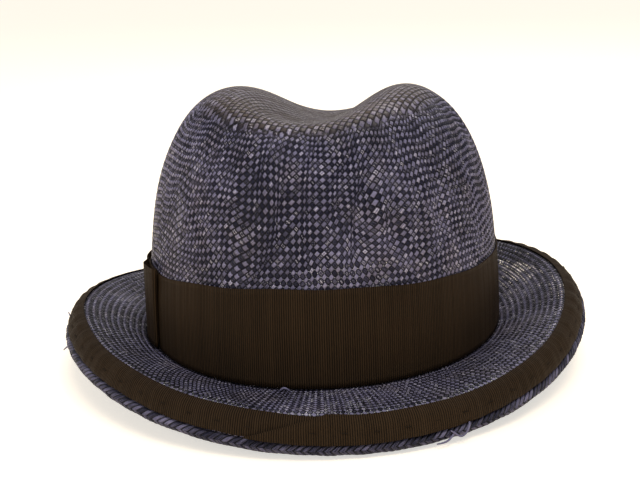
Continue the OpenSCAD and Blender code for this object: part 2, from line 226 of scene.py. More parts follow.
def place(t, point, off=0.0):
    """A section's point stood up at angle t round the head, off above the straw's middle."""
    nx, ny = outward(t)
    out = point[0] - off * sin(point[2])
    x = (HEAD_W / 2 + COLLAR_OUT) * cos(t) + nx * out
    y = (HEAD_L / 2 + COLLAR_OUT) * sin(t) + ny * out
    return np.stack(np.broadcast_arrays(x, y, point[1] + off * cos(point[2])), -1)


def roll_centre(t):
    """The middle of the rolled edge as out and up."""
    out, up, heading = edge_point(t, EDGE_W)
    reach = ROLL_D / 2 + FIT_GAP
    return out + reach * cos(heading), up + reach * sin(heading)


def roll_point(t, r, u):
    """A point r from the middle of the rolled edge, at angle u round it."""
    out, up = roll_centre(t)
    return place(t, (out + r * cos(u), up + r * sin(u), np.zeros_like(out + u)))


def band_point(t, z, off):
    """A point off outside the crown's wall at height z."""
    return crown_point(t, wall_angle(z), off)


def band_dip(t, share):
    """How far the hatband's upper edge drops towards the sides of the head."""
    return (BAND_DIP - BAND_DIP_LEAN * cos(t)) * cos(t) ** 2 * share


RIM = roll_point(np.arange(72) * 5.0, 0.0, 0.0)
# The step that stands the rolled edge on the table, with the middle of its outline over the origin
ON_TABLE = np.array([
    -(RIM[:, 0].max() + RIM[:, 0].min()) / 2,
    -(RIM[:, 1].max() + RIM[:, 1].min()) / 2,
    ROLL_D / 2 - RIM[:, 2].min(),
])


def ripple(t, z, seed):
    """A slow, seeded wave round the head, between -1 and 1."""
    waves = 9
    draw = np.random.default_rng(seed)
    total = 0
    for k in range(waves):
        turns, rise = draw.integers(2, 15), draw.uniform(-0.08, 0.08)
        total = total + np.sin(np.radians(turns * t) + rise * z + draw.uniform(0, 6.28)) / waves**0.5
    return np.clip(total, -1, 1)


# ---- shader maths ----


class Wire:
    """A socket that sums, products and other maths can be written with."""

    def __init__(self, nodes, socket):
        self.nodes, self.socket = nodes, socket

    def maths(self, how, *others):
        values = {i: v for i, v in enumerate((self, *others))}
        return self.nodes.node("Math", {"operation": how}, values)

    def __add__(self, other):
        return self.maths("ADD", other)

    __radd__ = __add__

    def __mul__(self, other):
        return self.maths("MULTIPLY", other)

    __rmul__ = __mul__

    def __sub__(self, other):
        return self.maths("SUBTRACT", other)

    def __rsub__(self, other):
        return self.nodes.node("Math", {"operation": "SUBTRACT"}, {0: other, 1: self})

    def __abs__(self):
        return self.maths("ABSOLUTE")

    def __pow__(self, other):
        return self.maths("POWER", other)

    def floor(self):
        return self.maths("FLOOR")

    def fract(self):
        return self.maths("FRACT")

    def step(self, low, high):
        """0 below low, 1 above high and a soft step between."""
        return self.nodes.node(
            "MapRange", {"interpolation_type": "SMOOTHSTEP"}, {"Value": self, 1: low, 2: high}
        )


class Nodes:
    """A node tree and the one way to add a node to it."""

    def __init__(self, tree):
        self.tree = tree

    def node(self, kind, settings=None, values=None, out=0):
        """Adds a node, sets it, and gives its sockets their values or wires."""
        made = self.tree.nodes.new("ShaderNode" + kind)
        for key, value in (settings or {}).items():
            setattr(made, key, value)
        for key, value in (values or {}).items():
            if isinstance(value, Wire):
                self.tree.links.new(value.socket, made.inputs[key])
            else:
                made.inputs[key].default_value = value
        return Wire(self, made.outputs[out])

    def end(self, wire, name):
        """Links a shader to the Surface of the tree's output."""
        self.tree.links.new(wire.socket, self.tree.nodes[name].inputs["Surface"])


class Finish(Nodes):
    """A material and its Principled shader."""

    def __init__(self, name, **values):
        self.material = bpy.data.materials.new(name)
        self.material.use_nodes = True
        super().__init__(self.material.node_tree)
        self.shader = self.tree.nodes["Principled BSDF"]
        for socket, value in values.items():
            self.shader.inputs[socket.replace("_", " ")].default_value = value

    def mix(self, factor, a, b, how="MIX"):
        values = {0: factor, 6: a, 7: b}
        return self.node("Mix", {"data_type": "RGBA", "blend_type": how}, values, 2)

    def vector(self, x, y, z=0.0):
        return self.node("CombineXYZ", None, {0: x, 1: y, 2: z})

    def split(self, vector, axes=(0, 1, 2)):
        return [self.node("SeparateXYZ", None, {0: vector}, k) for k in axes]

    def cloth(self):
        """The two places along and across the piece's own cloth, in metres."""
        return self.split(self.node("UVMap", {"uv_map": "cloth"}), (0, 1))

    def spot(self):
        """The place in the hat, in metres."""
        return self.node("TexCoord", None, None, "Object")

    def noise(self, vector, scale, detail=3.0):
        values = {"Vector": vector, "Scale": scale, "Detail": detail, "Roughness": 0.55}
        return self.node("TexNoise", None, values)

    def random(self, a, b):
        """A random value for each pair of whole numbers."""
        return self.node("TexWhiteNoise", {"noise_dimensions": "2D"}, {"Vector": self.vector(a, b)})

    def wear(self, **links):
        """Links wires to the shader's sockets."""
        for socket, wire in links.items():
            self.tree.links.new(wire.socket, self.shader.inputs[socket.replace("_", " ")])

    def bump(self, height, distance, strength=1.0):
        values = {"Height": height, "Distance": distance, "Strength": strength}
        self.wear(Normal=self.node("Bump", None, values))


def linear(r, g, b):
    """A colour that is given as screen values from 0 to 255."""

    def one(v):
        v /= 255
        return v / 12.92 if v <= 0.04045 else ((v + 0.055) / 1.055) ** 2.4

    return one(r), one(g), one(b), 1.0


# ---- meshes ----


def cloth_mesh(name, points, cloth, closed, pole=None, maps=None, flip=False):
    """A grid of points, rows by columns in millimetres, as a smooth mesh in metres.

    cloth is each column's and row's place on the cloth; a closed grid has one more column of
    cloth places than of points."""
    rows, cols = points.shape[:2]
    spans = cols if closed else cols - 1
    r, c = np.meshgrid(np.arange(rows - 1), np.arange(spans), indexing="ij")
    r, c = r.ravel(), c.ravel()
    n = (c + 1) % cols
    corners = np.stack([r * cols + c, r * cols + n, (r + 1) * cols + n, (r + 1) * cols + c], 1)
    uv_rows = np.stack([r, r, r + 1, r + 1], 1)
    uv_cols = np.stack([c, c + 1, c + 1, c], 1)
    faces = corners.tolist()
    places = points.reshape(-1, 3)
    loops = [cloth[uv_rows, uv_cols].reshape(-1, 2)]
    if pole is not None:
        places = np.vstack([places, pole[0]])
        k = np.arange(spans)
        last = (rows - 1) * cols
        faces += np.stack([last + k, last + (k + 1) % cols, np.full(spans, rows * cols)], 1).tolist()
        tip = cloth[rows - 1, k] + [0, pole[1]]
        loops.append(np.stack([cloth[rows - 1, k], cloth[rows - 1, k + 1], tip], 1).reshape(-1, 2))
    if flip:
        faces = [f[::-1] for f in faces]
        loops = [
            part.reshape(-1, 4 if i == 0 else 3, 2)[:, ::-1].reshape(-1, 2)
            for i, part in enumerate(loops)
        ]
    mesh = bpy.data.meshes.new(name)
    mesh.from_pydata(((places + ON_TABLE) * MM).tolist(), [], faces)
    layer = mesh.uv_layers.new(name="cloth")
    layer.uv.foreach_set("vector", (np.concatenate(loops) * MM).astype(np.float32).ravel())
    for key, values in (maps or {}).items():
        spread = mesh.attributes.new(key, "FLOAT", "POINT")
        spread.data.foreach_set("value", values.astype(np.float32).ravel())
    mesh.polygons.foreach_set("use_smooth", [True] * len(mesh.polygons))
    mesh.update()
    piece = bpy.data.objects.new(name, mesh)
    bpy.context.scene.collection.objects.link(piece)
    return piece


def square_cloth(cols, rows, pitch):
    """Cloth places of a closed grid whose columns and rows are the same distance apart."""
    return np.stack(np.meshgrid(np.arange(cols + 1) * pitch, np.arange(rows) * pitch), -1)


def steps_along(line):
    return np.linalg.norm(np.diff(line, axis=0), axis=1)


def run_along(line):
    """How far along the line each of its points lies."""
    return np.concatenate([[0], np.cumsum(steps_along(line))])


def grid_normals(points):
    """The normals of a grid that closes round the head."""
    across = np.roll(points, -1, 1) - np.roll(points, 1, 1)
    normal = np.cross(across, np.gradient(points, axis=0))
    return normal / (np.linalg.norm(normal, axis=-1, keepdims=True) + 1e-9)


def only(piece):
    """Selects this piece alone and makes it active."""
    bpy.ops.object.select_all(action="DESELECT")
    piece.select_set(True)
    bpy.context.view_layer.objects.active = piece


def thicken(piece, thickness, offset):
    """Gives a sheet its wall, with the sheet in the wall's middle at offset 0 and outside at -1."""
    only(piece)
    wall = piece.modifiers.new("wall", "SOLIDIFY")
    wall.thickness, wall.offset, wall.use_even_offset = thickness * MM, offset, False
    bpy.ops.object.modifier_apply(modifier=wall.name)


def face_outwards(piece, weld=None):
    """Turns all faces out, after vertices closer than weld are made one."""
    only(piece)
    bpy.ops.object.mode_set(mode="EDIT")
    bpy.ops.mesh.select_all(action="SELECT")
    if weld:
        bpy.ops.mesh.remove_doubles(threshold=weld)
    bpy.ops.mesh.normals_make_consistent(inside=False)
    bpy.ops.object.mode_set(mode="OBJECT")


def finish_piece(piece, material, slot, *nodes):
    """Gives a piece its material and body, and hides the CAD nodes that it stands for."""
    piece.data.materials.clear()
    piece.data.materials.append(material)
    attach(piece, "root")
    if nodes:
        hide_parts(*nodes)


def thin_strand(points, radius, name):
    """A thin round strand through points in millimetres that narrows at its end."""
    curve = bpy.data.curves.new(name, "CURVE")
    curve.dimensions = "3D"
    curve.bevel_depth = radius * MM
    curve.bevel_resolution = 2
    curve.use_fill_caps = True
    line = curve.splines.new("NURBS")
    line.points.add(len(points) - 1)
    for k, p in enumerate(points):
        line.points[k].co = (*((np.asarray(p) + ON_TABLE) * MM), 1)
        line.points[k].radius = 1 if k < len(points) - 1 else 0.6
    line.use_endpoint_u = True
    line.order_u = 3
    line.resolution_u = 6
    piece = bpy.data.objects.new(name, curve)
    bpy.context.scene.collection.objects.link(piece)
    only(piece)
    bpy.ops.object.convert(target="MESH")
    piece = bpy.context.view_layer.objects.active
    face_outwards(piece)
    bpy.ops.object.shade_smooth()
    return piece


# ---- finishes ----


def woven(f, p, q, looseness):
    """Flat strands that cross slantwise: height, the mask of painted shade in the gaps, pinhole, family,
    strand and cell tones.
    """
    a, b = p + q, p - q
    off_a, off_b = abs(a.fract() - 0.5), abs(b.fract() - 0.5)
    cell_a, cell_b = a.floor(), b.floor()
    family = ((cell_a + cell_b) * 0.5).fract() * 2.0
    across = off_a * family + off_b * (1.0 - family)
    along = off_b * family + off_a * (1.0 - family)
    arch = 0.3 + 0.7 * (1.0 - (along * 2.0) ** 2.0)
    flat = 1.0 - (across * 2.0) ** 4.0
    height = arch * flat
    corner = off_a.maths("MINIMUM", off_b)
    cell = f.random(cell_a, cell_b)
    lane = f.random(cell_a * family + cell_b * (1.0 - family), family * 7.0)
    reach = 0.475 - looseness * (0.3 + cell)
    pinhole = (corner - reach).step(0.0, 0.02)
    gap_shade = across.step(0.26, 0.44).maths("MAXIMUM", (corner - reach).step(-0.13, 0.0))
    gap_shade = gap_shade.maths("MAXIMUM", along.step(0.36, 0.5) * 0.75)
    grain = f.noise(f.vector(across * 8.0, along * 1.2, cell * 40.0), 1.0, 2.0)
    return height, gap_shade, pinhole, family, lane, cell, grain


def straw_finish(name, look, cell_size, top_map):
    """Navy straw: slanting strands in a lighter and a darker family, partly their own tone and partly
    painted light and shade, with painted shade in their gaps, painted glints, pinholes and a tan top of
    painted sheen and dust.

    cell_size is the distance between two crossings in millimetres. With a top map, the top has a finer
    weave and a tan colour that is partly painted sheen and partly dust, and without one the weave is looser
    at the back on the left."""
    f = Finish(name, Roughness=0.5, Sheen_Weight=0.12, Sheen_Roughness=0.25,
               Sheen_Tint=linear(*look["sheen_and_dust"]), Specular_IOR_Level=0.18)
    u, v = f.cloth()
    per_metre = 1 / (cell_size * MM)
    wobble = f.noise(f.spot(), 45.0, 2.0) - 0.5
    loose = look["loose"]
    if not top_map:
        x, y = f.split(f.spot(), (0, 1))
        loose = (x * 0.85 + y * 0.5).step(0.085, 0.12) * loose + loose
    side = woven(f, u * per_metre + wobble * 0.34, v * per_metre + wobble * 0.3, loose)
    parts = side
    if top_map:
        top = f.node("Attribute", {"attribute_name": "top"}, None, "Fac")
        x, y, z = f.split(f.spot())
        fine = per_metre * 0.85
        x2 = x * (fine * 0.87) + (y - z * 0.85) * (fine * 0.5)
        y2 = (y - z * 0.85) * (fine * 0.87) - x * (fine * 0.5)
        blotch = f.noise(f.spot(), 60.0, 3.0)
        on_top = (top + (blotch - 0.5) * 0.7).step(0.45, 0.55)
        over = woven(f, x2 + wobble * 0.5, y2 + wobble * 0.5, look["loose"] * 0.9)
        parts = [s * (1.0 - on_top) + o * on_top for s, o in zip(side, over)]
    height, gap_shade, pinhole, family, lane, cell, grain = parts
    patch = f.noise(f.spot(), 26.0, 3.0)
    # Painted light and shade: one family of strands is painted lighter than the other, partly as its own
    # tone and partly for the light it catches; strand, cell, grain and patch add random tone.
    lit = (1.0 - family) * 0.55 + lane * 0.22 + cell * 0.24
    lit = lit + (grain - 0.5) + (patch - 0.5) * 1.2 - 0.12
    tone = f.mix(lit.step(0.0, 1.0), linear(*look["dark"]), linear(*look["light"]))
    warm = f.noise(f.spot(), 75.0, 2.0)
    warmed = f.mix(1.0, tone, WARM_CAST, "MULTIPLY")
    tone = f.mix((warm - 0.45).step(0.0, 0.25) * 0.45, tone, warmed)
    # Painted glints: light spots painted on the strands' high points.
    painted_glint = (grain + cell * 0.25 + (patch - 0.5) * 0.2).step(0.72, 0.9) * height.step(0.4, 0.85)
    tone = f.mix(painted_glint * 0.75, tone, linear(*look["painted_glint"]))
    if top_map:
        # Painted sheen and dust: the top is painted tan, partly for the warm sheen that grazing light gives
        # it and partly as dust.
        painted_sheen_and_dust = top.step(0.25, 1.1) * (0.35 + 0.65 * f.noise(f.spot(), 120.0, 3.0))
        tone = f.mix(painted_sheen_and_dust * 0.6, tone, linear(*look["sheen_and_dust"]))
    # Painted shade: the gaps between the strands, and the strands' ends where they pass under, are painted
    # near black.
    tone = f.mix(gap_shade * 0.95, tone, linear(*WEAVE_GAP_SHADE))
    f.wear(Base_Color=tone, Roughness=0.72 - 0.4 * height * (0.4 + lane), Alpha=1.0 - pinhole)
    f.bump(height + (grain - 0.5) * 0.3, 0.0006, 0.9)
    return f.material


def braid_finish(name, look):
    """The plaited edge: slanting strands that meet in a point along its outside."""
    f = Finish(name, Roughness=0.5, Sheen_Weight=0.05, Sheen_Roughness=0.4, Specular_IOR_Level=0.2)
    u, v = f.cloth()
    turn = v * (1 / (360 * MM))
    lean = abs((turn * 2.0).fract() - 0.5) * 2.0
    lane = u * (1 / (look["plait"] * MM)) + lean * PLAIT_LEAN
    off = abs(lane.fract() - 0.5)
    strand = f.random(lane.floor(), (turn * 2.0).floor())
    fibre = f.noise(f.vector(off * 9.0, lean * 2.0, strand * 30.0), 1.0, 2.0)
    blotch = f.noise(f.spot(), 60.0)
    lit = 0.1 + strand * 0.45 + (fibre - 0.5) * 1.1 + (blotch - 0.5) * 0.8
    tone = f.mix(lit.step(0.0, 1.0), linear(*look["dark"]), linear(*look["light"]))
    # Painted shade: the gaps between the plait's strands are painted near black.
    tone = f.mix(off.step(0.28, 0.48) * 0.95, tone, linear(*PLAIT_GAP_SHADE))
    f.wear(Base_Color=tone, Roughness=0.62 - 0.18 * fibre)
    f.bump(1.0 - (off * 2.0) ** 3.0 + (fibre - 0.5) * 0.3, 0.0005)
    return f.material


def ribbed(f, along, across, look):
    """Grosgrain: fine ribs across the ribbon, each crossed by finer threads."""
    wander = f.noise(f.spot(), 90.0, 2.0) - 0.5
    rib = along * (1 / (look["rib"] * MM)) + wander * 0.25
    off = abs(rib.fract() - 0.5) * 2.0
    lane = f.node("TexWhiteNoise", {"noise_dimensions": "1D"}, {"W": rib.floor()})
    warp = abs((across * (1 / (THREAD_PITCH * MM))).fract() - 0.5)
    fuzz = f.noise(f.spot(), 900.0, 2.0)
    blotch = f.noise(f.spot(), 22.0, 4.0)
    # Painted light and shade: the tops of the ribs are painted lighter and the grooves between them darker,
    # with random tone by rib, thread, fuzz and blotch.
    lit = (1.0 - off) * 0.95 + lane * 0.15 + warp * 0.16 + (fuzz - 0.5) * 0.35 + (blotch - 0.5) * 0.6
    tone = f.mix(lit.step(0.0, 1.15), linear(*look["dark"]), linear(*look["light"]))
    f.wear(Base_Color=tone, Roughness=0.72 - lane * 0.14)
    f.bump(1.0 - off ** 2.0 + warp * 0.5 + fuzz * 0.35, 0.0003)


def ribbon_finish(name, look):
    """Grosgrain on a ribbon piece, with its ribs across the ribbon."""
    f = Finish(name, Roughness=0.75, Sheen_Weight=0.05, Sheen_Roughness=0.4,
               Sheen_Tint=linear(*look["sheen"]), Specular_IOR_Level=0.08)
    u, v = f.cloth()
    ribbed(f, u, v, look)
    return f.material


def lining_finish(name, look):
    """Grosgrain on a CAD piece that goes round the head, ribbed up and down."""
    f = Finish(name, Roughness=0.75, Sheen_Weight=0.3, Sheen_Roughness=0.5,
               Sheen_Tint=linear(*look["sheen"]))
    x, y, z = f.split(f.spot())
    ribbed(f, y.maths("ARCTAN2", x) * (LINING_R * MM), z, look)
    return f.material


def thread_finish(name, colour):
    """Twisted sewing thread."""
    f = Finish(name, Roughness=0.85, Specular_IOR_Level=0.15)
    values = {"Vector": f.spot(), "Scale": 700.0, "Distortion": 0.6, "Detail": 1.0}
    wave = f.node("TexWave", {"bands_direction": "DIAGONAL"}, values, "Fac")
    # Painted shade: the twist's grooves are painted in a darker copy of the thread's colour.
    dark = tuple(c * 0.45 for c in linear(*colour)[:3]) + (1.0,)
    f.wear(Base_Color=f.mix(wave, dark, linear(*colour)))
    f.bump(wave, 0.0001)
    return f.material


def steel_finish(name):
    """Drawn spring wire with fine scratches."""
    f = Finish(name, Metallic=1.0, Roughness=0.35)
    scratch = f.noise(f.spot(), 1600.0, 2.0)
    tone = f.mix(scratch, linear(*STEEL_DARK), linear(*STEEL_LIGHT))
    f.wear(Base_Color=tone, Roughness=0.28 + 0.22 * scratch)
    return f.material


# ---- settings ----


def colour(name, about, r, g, b):
    """A colour setting whose default is given as screen values from 0 to 255."""
    return bpy.props.FloatVectorProperty(
        name=name, description=about, default=[v / 255 for v in (r, g, b)],
        size=3, min=0, max=1, subtype="COLOR_GAMMA",
    )


def length(name, about, default, low, high, digits):
    """A length setting in metres."""
    return bpy.props.FloatProperty(
        name=name, description=about, default=default, min=low, max=high,
        subtype="DISTANCE", unit="LENGTH", precision=digits,
    )


class FEDORA_PG_straw(bpy.types.PropertyGroup):
    """Sizes and colours of the woven straw."""

    columns: bpy.props.IntProperty(
        name="Columns", description="Crossings of the weave round the crown",
        default=188, min=120, max=188)
    brim_columns: bpy.props.IntProperty(
        name="Brim columns", description="Crossings of the weave round the brim",
        default=296, min=160, max=300)
    relief: length("Relief", "Rise of a strand above the gaps beside it", 0.00034, 0, 0.0006, 5)
    loose: bpy.props.FloatProperty(
        name="Looseness", description="Size of the pinholes between the strands",
        default=0.05, min=0, max=0.2)
    plait: length("Plait", "Length of one step of the plaited edge", 0.003, 0.002, 0.006, 4)
    light: colour("Light strands", "Strands that catch the light", 128, 124, 154)
    dark: colour("Dark strands", "Strands that lie in shade", 15, 15, 36)
    # Colour of the painted glints on the strands' high points
    painted_glint: colour("Flecks", "Shiny spots on the strands", 206, 200, 210)
    # Tan of the crown's top, partly painted sheen and partly dust; it also tints the shader's sheen
    sheen_and_dust: colour("Bloom", "Dusty bloom on the crown's top", 106, 86, 62)


class FEDORA_PG_ribbon(bpy.types.PropertyGroup):
    """Sizes and colours of the grosgrain ribbon."""

    rib: length("Rib", "Distance between two ribs", 0.00098, 0.0004, 0.002, 5)
    # Rib tops and grooves, painted lighter and darker as painted light and shade
    light: colour("Ribs", "Tops of the ribs", 58, 43, 27)
    dark: colour("Grooves", "Grooves between the ribs", 12, 9, 6)
    sheen: colour("Sheen", "Soft sheen of the ribs", 120, 92, 60)


class FEDORA_PG_stage(bpy.types.PropertyGroup):
    """Camera and light."""

    lens: bpy.props.FloatProperty(
        name="Lens", description="Focal length on a 36 mm sensor", default=68.9, min=20, max=200)
    distance: length("Distance", "Camera to the middle of the hat", 0.6, 0.3, 3, 2)
    height: bpy.props.FloatProperty(
        name="Elevation", description="Angle at which the camera looks down",
        default=math.radians(14.88), subtype="ANGLE", unit="ROTATION")
    key: bpy.props.FloatProperty(
        name="Key light", description="Power of the large soft lamp above", default=9.0, min=0, max=60)
    floor: colour("Floor", "The floor under the hat", 246, 229, 203)


def colours_of(settings, *keys):
    """Colour settings as screen values from 0 to 255."""
    return {key: [v * 255 for v in getattr(settings, key)] for key in keys}


def straw_look():
    """The straw's settings, with the plait's step in millimetres."""
    straw = bpy.context.scene.fedora_straw
    look = colours_of(straw, "light", "dark", "painted_glint", "sheen_and_dust")
    return dict(look, loose=straw.loose, plait=straw.plait / MM)


def ribbon_look():
    """The ribbon's settings, with the distance between two ribs in millimetres."""
    ribbon = bpy.context.scene.fedora_ribbon
    return dict(colours_of(ribbon, "light", "dark", "sheen"), rib=ribbon.rib / MM)


# ---- operators ----


def weave_relief(rows, cols):
    """1 or less where a strand lies on top and -1 at the corners between strands."""
    r, c = np.meshgrid(np.arange(rows), np.arange(cols), indexing="ij")
    peak = np.where(c % 2 == 1, 1.0, 0.7)
    return np.where((r + c) % 2 == 1, peak, -1.0)


class FEDORA_OT_crown(bpy.types.Operator):
    """Weave the crown"""

    bl_idname = "fedora.crown"
    bl_label = "Crown"

    def execute(self, context):
        straw = context.scene.fedora_straw
        cols = straw.columns * 2
        most_rows = 122

        # Rows as far apart as the columns, measured up the mean of twelve sections
        walls = np.linspace(float(wall_angle(np.array(CROWN_FOOT))), 90, 1500)
        runs = []
        for t in range(0, 360, 30):
            runs.append(run_along(crown_point(float(t), walls)))
        run = np.mean(runs, 0)
        around = steps_along(crown_point(np.linspace(0, 360, 361), 10.0)).sum()
        half = around / cols
        rows = min(int(run[-1] / half), most_rows)
        heights = np.interp(np.arange(rows) * half, run, walls)
        t = (np.arange(cols) * 360 / cols)[None, :]
        row = np.arange(rows)[:, None] * half

        # Strands stray between the hatband and the crest
        free = smooth(BAND_H - 6, BAND_H + 14, row) * smooth(rows * half, rows * half - 30, row)
        drift = (ripple(t, row, 51) + 0.6 * ripple(t * 3, row * 2.2, 52)) * free
        climb = (ripple(t, row, 53) + 0.6 * ripple(t * 3, row * 2.2, 54)) * free
        wall = np.interp(row + STRAY * climb, np.arange(rows) * half, heights)
        t = t + STRAY * drift * 360 / around
        flat = crown_point(t, wall)
        level = flat[..., 2]

        # Relief that fades out under the hatband and on the top
        top = smooth(TOP_FROM, TOP_TO, wall + 6 * sin(t) ** 2)
        lowest = BAND_TOP - band_dip(t, 1.0)
        depth = straw.relief / MM * (1 - top) * smooth(lowest - 2, lowest + 1.5, level)
        lift = weave_relief(rows, cols) * depth
        lift = lift + ripple(t, level, 5) * DENTS * smooth(BAND_TOP, BAND_TOP + 16, level) * (1 - top)
        points = flat + grid_normals(flat) * lift[..., None]

        cloth = square_cloth(cols, rows, half)
        crest = crown_point(np.array(0.0), np.array(90.0)).reshape(1, 3)
        spread = np.concatenate([top.ravel(), [1.0]])
        piece = cloth_mesh("crown_weave", points, cloth, True, (crest, half), {"top": spread})
        thicken(piece, CROWN_WALL, -1)
        material = straw_finish("navy woven straw, crown", straw_look(), half * 2, True)
        finish_piece(piece, material, "navy_straw", "crown")
        return {"FINISHED"}


class FEDORA_OT_brim(bpy.types.Operator):
    """Weave the brim with its collar and turned-down edge"""

    bl_idname = "fedora.brim"
    bl_label = "Brim"

    def execute(self, context):
        straw = context.scene.fedora_straw
        cols = straw.brim_columns * 2
        t = np.arange(cols) * 360 / cols
        t = t + 0.5 * ripple(t, 0.0, 61) + 0.25 * ripple(t * 4, 0.0, 62)
        collar, fold, flat, edge = 5, 3, 20, 11
        sections = []

        # The collar goes down inside the crown to the fold
        n = outward(t)
        wall = crown_point(t, wall_angle(np.full_like(t, COLLAR_H)))
        drawn = (CROWN_A * cos(t) - wall[:, 0]) * n[0] + (CROWN_B * sin(t) - wall[:, 1]) * n[1]
        down = np.full_like(t, -90.0)
        low = fold_point(t, down)
        for share in np.arange(collar) / collar:
            out = (-STRAW_T / 2 - drawn) * (1 - share) + low[0] * share
            sections.append(place(t, (out, COLLAR_H * (1 - share) + low[1] * share, down)))
        for share in np.arange(fold) / fold:
            sections.append(place(t, fold_point(t, -90 + (90 + brim_rise(t)) * share)))

        # The flat brim, then its turned-down edge
        for share in np.arange(flat) / flat:
            sag = 0.35 * math.sin(math.pi * share) * ripple(t, 40.0, 11)
            sections.append(place(t, straw_point(t, brim_w(t) * share), sag))
        for share in np.arange(edge) / (edge - 1):
            sections.append(place(t, edge_point(t, EDGE_W * share)))
        points = np.stack(sections)

        # Relief where the brim is bare
        rows = len(points)
        first = collar + fold + 1
        show = np.zeros(rows)
        show[first:first + flat + 4] = 1
        depth = straw.relief / MM * 0.35 * show[:, None]
        points = points - grid_normals(points) * (weave_relief(rows, cols) * depth)[..., None]

        cloth = square_cloth(cols, rows, BRIM_HALF_PITCH)
        piece = cloth_mesh("brim_weave", points, cloth, True, flip=True)
        thicken(piece, BRIM_WALL, 0)
        look = straw_look()
        look["loose"] *= 2.8
        # Painted shade: the brim's strands are painted darker than the crown's.
        look["dark"] = [v * 0.75 for v in look["dark"]]
        look["light"] = [v * 0.92 for v in look["light"]]
        material = straw_finish("navy woven straw, brim", look, BRIM_HALF_PITCH * 2, False)
        finish_piece(piece, material, "navy_straw", "brim")
        return {"FINISHED"}


class FEDORA_OT_edge_roll(bpy.types.Operator):
    """Plait the straw roll round the brim's edge"""

    bl_idname = "fedora.edge_roll"
    bl_label = "Rolled edge"

    def execute(self, context):
        look = straw_look()
        cols, sides = 1120, 20
        t = (np.arange(cols) * 360 / cols)[None, :]
        u = (np.arange(sides + 1) * 360 / sides)[:, None]
        rim_run = steps_along(roll_point(np.linspace(0, 360, 721), 0.0, 0.0)).sum()
        steps = round(rim_run / look["plait"])
        run = np.arange(cols + 1) / cols * steps * look["plait"]
        lean = np.abs((u / 360 * 2) % 1 - 0.5) * 2
        lane = run[None, :-1] / look["plait"] + lean * PLAIT_LEAN
        rise = 0.22 - 0.5 * (np.abs(lane % 1 - 0.5) * 2) ** 3
        uneven = ripple(t * 5, u * 0.3, 3) * 0.16
        points = roll_point(t, ROLL_D / 2 - 0.05 + rise + uneven, u + 0 * t)
        cloth = np.stack(np.meshgrid(run, u[:, 0]), -1)
        piece = cloth_mesh("edge_roll", points, cloth, True)
        face_outwards(piece, 0.00001)
        finish_piece(piece, braid_finish("navy plaited straw", look), "navy_straw", "edge_braid")
        return {"FINISHED"}


class FEDORA_OT_edge_ribbon(bpy.types.Operator):
    """Lay the ribbon on the brim's edge, with its end folded slantwise over its start"""

    bl_idname = "fedora.edge_ribbon"
    bl_label = "Edge ribbon"

    def execute(self, context):
        cols, rows = 640, 15
        middle = rows // 2
        share = np.linspace(0, 1, cols)[None, :]
        s = np.linspace(0, 1, rows)[:, None]
        t = RIBBON_FROM - share * (RIBBON_FROM - RIBBON_TO) - RIBBON_SLANT * s * smooth(0.955, 1, share)
        turned = RIBBON_FROM - t

        # The end rises over the start, and its fold is thick
        lift = (RIBBON_T + FIT_GAP) * smooth(340, 358, turned)
        near_end = smooth(0.982, 1, share)
        lift = lift + 0.4 * np.sin(math.pi * np.clip(near_end, 0, 1)) + 0.9 * near_end

        # Puckers between the stitches, which stand at the same angles as the CAD part's
        rim_r = (roll_point(0.0, 0.0, 0.0)[0] + roll_point(90.0, 0.0, 0.0)[1]) / 2
        count = math.floor(2 * math.pi * rim_r / STITCH_PITCH)
        beat = 0.5 - 0.5 * np.cos(np.radians(t * count))
        pucker = PUCKER * beat * np.exp(-(((s - 0.34) / 0.18) ** 2))
        pucker = pucker + HEM_PUCKER * (0.3 + 0.7 * beat) * smooth(STITCH_LINE + 0.03, 0.95, s)
        wave = ripple(t, 20 * s, 21) * 0.22
        dip = -STITCH_DIP * np.exp(-(((s - STITCH_LINE) / 0.08) ** 2)) * (1 - beat) ** 2
        off = STRAW_T / 2 + FIT_GAP + RIBBON_T / 2 + 0.12 + lift + pucker + dip + wave * s * (1 - s) * 2
        reach = RIBBON_INSET + RIBBON_W * s + 0.3 * ripple(t, 0, 22)
        points = place(t, edge_point(t, reach), off)

        ribbon_run = steps_along(points[middle]).sum()
        per_degree = ribbon_run / float(np.ptp(t[middle]))
        cloth = np.stack([turned * per_degree, np.broadcast_to(s * RIBBON_W, t.shape)], -1)
        piece = cloth_mesh("edge_ribbon_cloth", points, cloth, False)
        thicken(piece, RIBBON_T * 0.8, 0)
        finish_piece(piece, bpy.data.materials[RIBBON_CLOTH], "brown_grosgrain", "edge_ribbon")
        return {"FINISHED"}


class FEDORA_OT_hatband(bpy.types.Operator):
    """Wrap the wide ribbon round the foot of the crown"""

    bl_idname = "fedora.hatband"
    bl_label = "Hatband"

    def execute(self, context):
        cols, rows = 480, 17
        t = (np.arange(cols + 1) * 360 / cols)[None, :]
        z = np.linspace(BAND_FOOT, BAND_TOP, rows)[:, None]
        share = (z - BAND_FOOT) / (BAND_TOP - BAND_FOOT)
        lip = BAND_LIP * smooth(0.9, 1.0, share) * (0.6 + 0.4 * ripple(t, 0, 31))
        wave = BAND_WAVE * (ripple(t, z * 1.4, 32) + 1) / 2 * np.sin(math.pi * share)
        off = FIT_GAP + BAND_T / 2 + lip + wave
        level = z + 0.3 * ripple(t, 0, 33) * share - band_dip(t, share)
        points = band_point(t, level, off)
        run = run_along(points[0])
        cloth = np.stack(np.broadcast_arrays(run[None, :], level[:, :1]), -1)
        piece = cloth_mesh("hatband_cloth", points[:, :-1], cloth, True)
        thicken(piece, BAND_T * 0.75, 0)
        material = bpy.data.materials[RIBBON_CLOTH]
        finish_piece(piece, material, "brown_grosgrain", "hatband", "hatband_lap")
        return {"FINISHED"}


